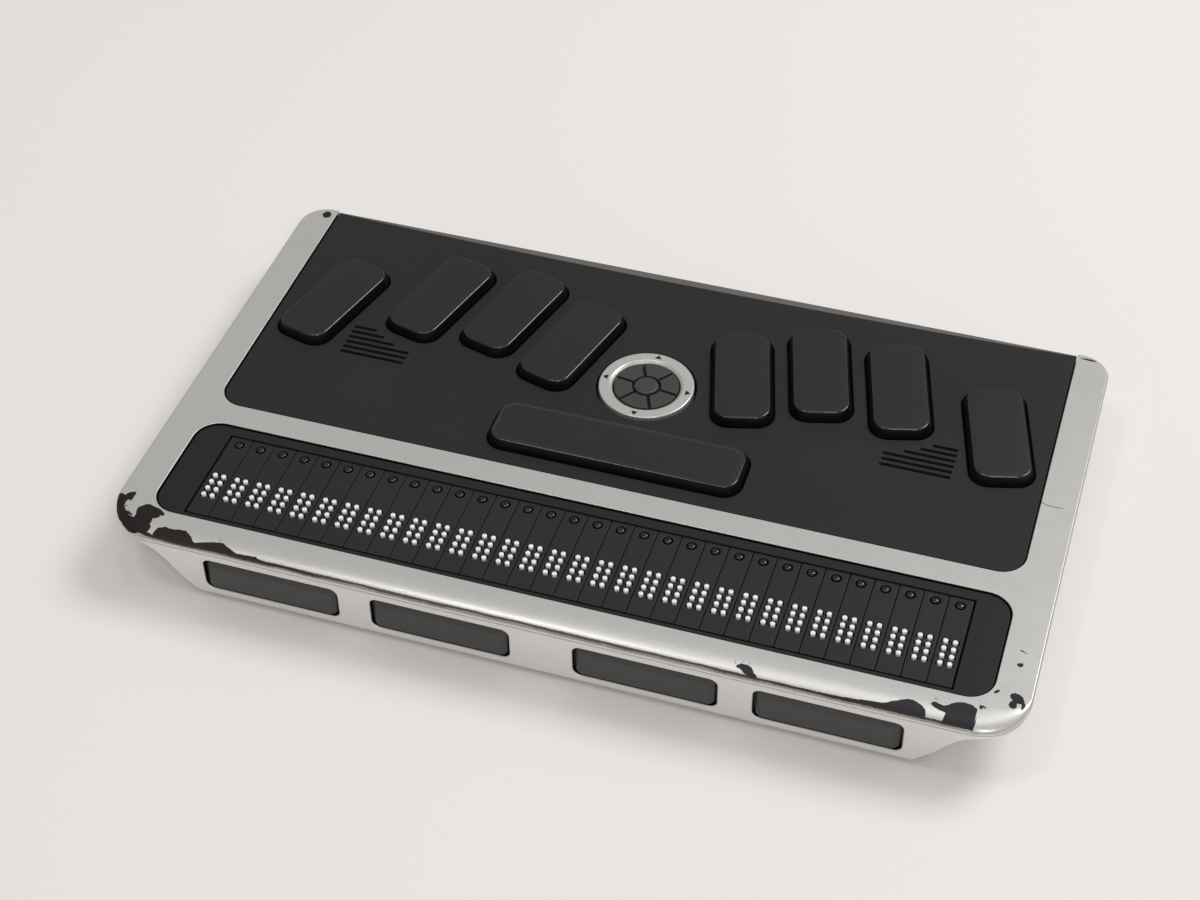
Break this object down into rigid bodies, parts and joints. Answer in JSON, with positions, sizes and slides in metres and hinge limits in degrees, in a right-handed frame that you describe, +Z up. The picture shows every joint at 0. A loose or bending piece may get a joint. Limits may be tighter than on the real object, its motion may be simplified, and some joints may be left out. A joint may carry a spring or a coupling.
{
  "type": "braille notetaker",
  "caption": "Flat silver and black braille notetaker with braille keys, a space bar, a scroll dial, a row of refreshable braille cells with routing buttons, and thumb keys along its front.",
  "frame": {"origin": "centre of the footprint on the surface that the feet stand on", "axes": "+X along the width to the user's right, +Y to the rear, +Z up"},
  "size_m": [0.244, 0.141, 0.0224],
  "materials": {
    "silver_paint": "satin silver paint on plastic, chipped at the front corners",
    "silver_ring": "satin silver paint",
    "black_panel": "fine matt moulded black",
    "black_key": "soft satin black",
    "grey_thumb_key": "satin dark grey",
    "grey_rear": "matt grey",
    "black_rubber": "matt rubber",
    "steel_screw": "plain steel",
    "socket_metal": "pressed tin",
    "black_socket": "plain moulded black",
    "green_board": "lacquered circuit board",
    "battery_wrap": "shrink wrap",
    "white_pin": "smooth white",
    "cell_plastic": "plain moulded",
    "reed_brass": "thin sprung strip"
  },
  "bodies": {
    "case": {"top_frame": "silver_paint", "lower_shell": "silver_paint", "keyboard_panel": "black_panel", "display_panel": "black_panel", "rear_cover": "grey_rear", "battery_cover": "silver_paint", "rubber_feet": "black_rubber", "case_screws": "steel_screw", "battery_pack": "battery_wrap", "main_board": "green_board", "radio_board": "green_board", "keyboard_board": "green_board", "key_domes": "black_rubber", "thumb_key_board": "green_board", "thumb_domes": "black_rubber", "speakers": "black_socket", "cell_caps": "black_panel", "cell_frames": "cell_plastic", "piezo_reeds": "reed_brass", "display_board": "green_board", "usb_sockets": "socket_metal", "audio_jack": "black_socket", "power_inlet": "black_socket", "card_slot": "socket_metal", "dial_post": "cell_plastic", "dial_domes": "black_rubber"},
    "dot_key_1": {"dot_key_1": "black_key"},
    "dot_key_2": {"dot_key_2": "black_key"},
    "dot_key_3": {"dot_key_3": "black_key"},
    "dot_key_4": {"dot_key_4": "black_key"},
    "dot_key_5": {"dot_key_5": "black_key"},
    "dot_key_6": {"dot_key_6": "black_key"},
    "dot_key_7": {"dot_key_7": "black_key"},
    "dot_key_8": {"dot_key_8": "black_key"},
    "space_bar": {"space_bar": "black_key"},
    "thumb_key_1": {"thumb_key_1": "grey_thumb_key"},
    "thumb_key_2": {"thumb_key_2": "grey_thumb_key"},
    "thumb_key_3": {"thumb_key_3": "grey_thumb_key"},
    "thumb_key_4": {"thumb_key_4": "grey_thumb_key"},
    "pins_dot_1": {"pins_dot_1": "white_pin"},
    "pins_dot_2": {"pins_dot_2": "white_pin"},
    "pins_dot_3": {"pins_dot_3": "white_pin"},
    "pins_dot_4": {"pins_dot_4": "white_pin"},
    "pins_dot_5": {"pins_dot_5": "white_pin"},
    "pins_dot_6": {"pins_dot_6": "white_pin"},
    "pins_dot_7": {"pins_dot_7": "white_pin"},
    "pins_dot_8": {"pins_dot_8": "white_pin"},
    "routing_buttons_1": {"routing_buttons_1": "black_key"},
    "routing_buttons_2": {"routing_buttons_2": "black_key"},
    "routing_buttons_3": {"routing_buttons_3": "black_key"},
    "routing_buttons_4": {"routing_buttons_4": "black_key"},
    "select_button": {"select_button": "black_key"},
    "rocker_plate": {"rocker_plate": "cell_plastic"},
    "arrow_ring": {"arrow_ring": "silver_ring"},
    "scroll_wheel": {"scroll_wheel": "black_key"},
    "power_switch": {"power_switch": "black_socket"}
  },
  "joints": [
    {"name": "dot_key_1_press", "type": "slide", "parent": "case", "child": "dot_key_1", "axis": [0, 0, -1], "range_m": [0, 0.0018], "stiffness_N_per_m": 300, "springref_m": -0.002, "deforming": ["key_domes"]},
    {"name": "dot_key_2_press", "type": "slide", "parent": "case", "child": "dot_key_2", "axis": [0, 0, -1], "range_m": [0, 0.0018], "stiffness_N_per_m": 300, "springref_m": -0.002, "deforming": ["key_domes"]},
    {"name": "dot_key_3_press", "type": "slide", "parent": "case", "child": "dot_key_3", "axis": [0, 0, -1], "range_m": [0, 0.0018], "stiffness_N_per_m": 300, "springref_m": -0.002, "deforming": ["key_domes"]},
    {"name": "dot_key_4_press", "type": "slide", "parent": "case", "child": "dot_key_4", "axis": [0, 0, -1], "range_m": [0, 0.0018], "stiffness_N_per_m": 300, "springref_m": -0.002, "deforming": ["key_domes"]},
    {"name": "dot_key_5_press", "type": "slide", "parent": "case", "child": "dot_key_5", "axis": [0, 0, -1], "range_m": [0, 0.0018], "stiffness_N_per_m": 300, "springref_m": -0.002, "deforming": ["key_domes"]},
    {"name": "dot_key_6_press", "type": "slide", "parent": "case", "child": "dot_key_6", "axis": [0, 0, -1], "range_m": [0, 0.0018], "stiffness_N_per_m": 300, "springref_m": -0.002, "deforming": ["key_domes"]},
    {"name": "dot_key_7_press", "type": "slide", "parent": "case", "child": "dot_key_7", "axis": [0, 0, -1], "range_m": [0, 0.0018], "stiffness_N_per_m": 300, "springref_m": -0.002, "deforming": ["key_domes"]},
    {"name": "dot_key_8_press", "type": "slide", "parent": "case", "child": "dot_key_8", "axis": [0, 0, -1], "range_m": [0, 0.0018], "stiffness_N_per_m": 300, "springref_m": -0.002, "deforming": ["key_domes"]},
    {"name": "space_bar_press", "type": "slide", "parent": "case", "child": "space_bar", "axis": [0, 0, -1], "range_m": [0, 0.0018], "stiffness_N_per_m": 300, "springref_m": -0.002, "deforming": ["key_domes"]},
    {"name": "thumb_key_1_press", "type": "slide", "parent": "case", "child": "thumb_key_1", "axis": [0, 1, 0], "range_m": [0, 0.001], "stiffness_N_per_m": 400, "springref_m": -0.001, "deforming": ["thumb_domes"]},
    {"name": "thumb_key_2_press", "type": "slide", "parent": "case", "child": "thumb_key_2", "axis": [0, 1, 0], "range_m": [0, 0.001], "stiffness_N_per_m": 400, "springref_m": -0.001, "deforming": ["thumb_domes"]},
    {"name": "thumb_key_3_press", "type": "slide", "parent": "case", "child": "thumb_key_3", "axis": [0, 1, 0], "range_m": [0, 0.001], "stiffness_N_per_m": 400, "springref_m": -0.001, "deforming": ["thumb_domes"]},
    {"name": "thumb_key_4_press", "type": "slide", "parent": "case", "child": "thumb_key_4", "axis": [0, 1, 0], "range_m": [0, 0.001], "stiffness_N_per_m": 400, "springref_m": -0.001, "deforming": ["thumb_domes"]},
    {"name": "pins_dot_1_drop", "type": "slide", "parent": "case", "child": "pins_dot_1", "axis": [0, 0, -1], "range_m": [0, 0.0007], "stiffness_N_per_m": 200, "springref_m": -0.001, "deforming": ["piezo_reeds"]},
    {"name": "pins_dot_2_drop", "type": "slide", "parent": "case", "child": "pins_dot_2", "axis": [0, 0, -1], "range_m": [0, 0.0007], "stiffness_N_per_m": 200, "springref_m": -0.001, "deforming": ["piezo_reeds"]},
    {"name": "pins_dot_3_drop", "type": "slide", "parent": "case", "child": "pins_dot_3", "axis": [0, 0, -1], "range_m": [0, 0.0007], "stiffness_N_per_m": 200, "springref_m": -0.001, "deforming": ["piezo_reeds"]},
    {"name": "pins_dot_4_drop", "type": "slide", "parent": "case", "child": "pins_dot_4", "axis": [0, 0, -1], "range_m": [0, 0.0007], "stiffness_N_per_m": 200, "springref_m": -0.001, "deforming": ["piezo_reeds"]},
    {"name": "pins_dot_5_drop", "type": "slide", "parent": "case", "child": "pins_dot_5", "axis": [0, 0, -1], "range_m": [0, 0.0007], "stiffness_N_per_m": 200, "springref_m": -0.001, "deforming": ["piezo_reeds"]},
    {"name": "pins_dot_6_drop", "type": "slide", "parent": "case", "child": "pins_dot_6", "axis": [0, 0, -1], "range_m": [0, 0.0007], "stiffness_N_per_m": 200, "springref_m": -0.001, "deforming": ["piezo_reeds"]},
    {"name": "pins_dot_7_drop", "type": "slide", "parent": "case", "child": "pins_dot_7", "axis": [0, 0, -1], "range_m": [0, 0.0007], "stiffness_N_per_m": 200, "springref_m": -0.001, "deforming": ["piezo_reeds"]},
    {"name": "pins_dot_8_drop", "type": "slide", "parent": "case", "child": "pins_dot_8", "axis": [0, 0, -1], "range_m": [0, 0.0007], "stiffness_N_per_m": 200, "springref_m": -0.001, "deforming": ["piezo_reeds"]},
    {"name": "routing_1_press", "type": "slide", "parent": "case", "child": "routing_buttons_1", "axis": [0, 0, -1], "range_m": [0, 0.0006], "stiffness_N_per_m": 300, "springref_m": -0.001},
    {"name": "routing_2_press", "type": "slide", "parent": "case", "child": "routing_buttons_2", "axis": [0, 0, -1], "range_m": [0, 0.0006], "stiffness_N_per_m": 300, "springref_m": -0.001},
    {"name": "routing_3_press", "type": "slide", "parent": "case", "child": "routing_buttons_3", "axis": [0, 0, -1], "range_m": [0, 0.0006], "stiffness_N_per_m": 300, "springref_m": -0.001},
    {"name": "routing_4_press", "type": "slide", "parent": "case", "child": "routing_buttons_4", "axis": [0, 0, -1], "range_m": [0, 0.0006], "stiffness_N_per_m": 300, "springref_m": -0.001},
    {"name": "select_press", "type": "slide", "parent": "case", "child": "select_button", "axis": [0, 0, -1], "range_m": [0, 0.0006], "stiffness_N_per_m": 300, "springref_m": -0.001, "deforming": ["dial_domes"]},
    {"name": "arrow_up_down", "type": "hinge", "parent": "case", "child": "rocker_plate", "pos_m": [0, 0.0223, 0.015], "axis": [1, 0, 0], "range_deg": [-2, 2], "stiffness_Nm_per_rad": 0.05, "deforming": ["dial_domes"]},
    {"name": "arrow_left_right", "type": "hinge", "parent": "rocker_plate", "child": "arrow_ring", "pos_m": [0, 0.0223, 0.0168], "axis": [0, 1, 0], "range_deg": [-2, 2], "stiffness_Nm_per_rad": 0.05},
    {"name": "scroll_wheel_turn", "type": "hinge", "parent": "case", "child": "scroll_wheel", "pos_m": [0, 0.0223, 0.0185], "axis": [0, 0, 1], "continuous": true},
    {"name": "power_switch_slide", "type": "slide", "parent": "case", "child": "power_switch", "axis": [1, 0, 0], "range_m": [0, 0.004]}
  ]
}
